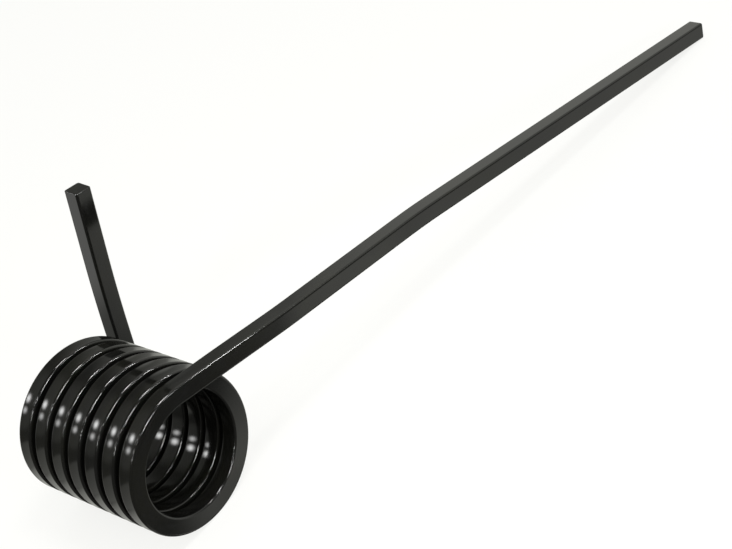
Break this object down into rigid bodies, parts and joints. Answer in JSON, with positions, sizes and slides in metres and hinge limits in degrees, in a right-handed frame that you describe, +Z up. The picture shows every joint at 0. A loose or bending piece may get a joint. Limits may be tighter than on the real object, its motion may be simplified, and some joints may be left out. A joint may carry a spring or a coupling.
{
  "type": "torsion spring",
  "caption": "Left-hand torsion spring of square wire with an open coil, a short upright leg and a long straight leg, finished in gloss black.",
  "frame": {"origin": "on the coil's axis, half way along the winding and its bore", "axes": "+Y along the coil's axis towards its rear end, where the short leg leaves; +X along the long leg, the longest way; +Z up, with the spring lying on the coil's side and on the long leg's end"},
  "size_m": [0.4571, 0.1194, 0.1422],
  "materials": {
    "black_coating": "gloss black coating on square spring steel wire"
  },
  "bodies": {
    "root": {"spring": "black_coating"}
  },
  "joints": []
}
